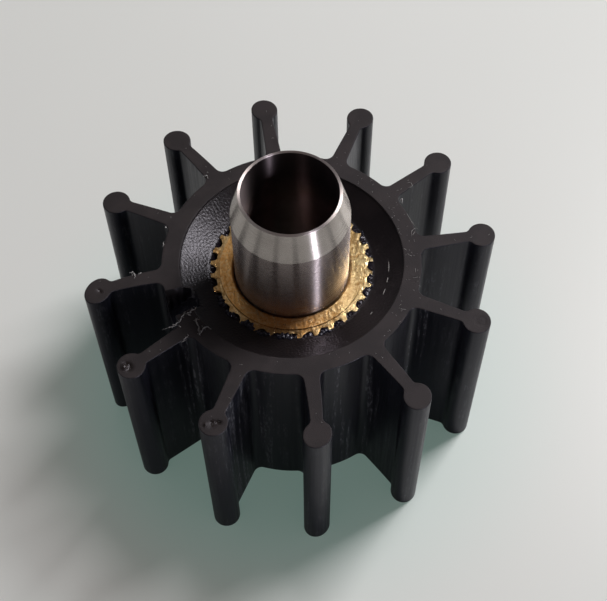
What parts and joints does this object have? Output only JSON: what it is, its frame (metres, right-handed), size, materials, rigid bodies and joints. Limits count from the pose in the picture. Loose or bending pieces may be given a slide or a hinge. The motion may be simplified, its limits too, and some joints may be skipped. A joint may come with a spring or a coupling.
{
  "type": "rubber pump impeller",
  "caption": "Flexible rubber vane wheel moulded round a toothed brass insert, with a long polished steel sleeve through it, for a raw-water cooling pump.",
  "frame": {"origin": "on the shaft axis, in the plane of the lower hub face that the wheel stands on", "axes": "+Z along the shaft axis towards the sleeve's tapered end; +X through the middle of one vane"},
  "size_m": [0.095, 0.095, 0.0778],
  "materials": {
    "rubber": "moulded black rubber, dusty matt on the end faces and satin on the vane flanks",
    "brass": "turned, dull, with small pits",
    "steel": "ground and polished stainless"
  },
  "bodies": {
    "root": {"impeller_body": "rubber", "brass_insert": "brass", "steel_sleeve": "steel"}
  },
  "joints": []
}
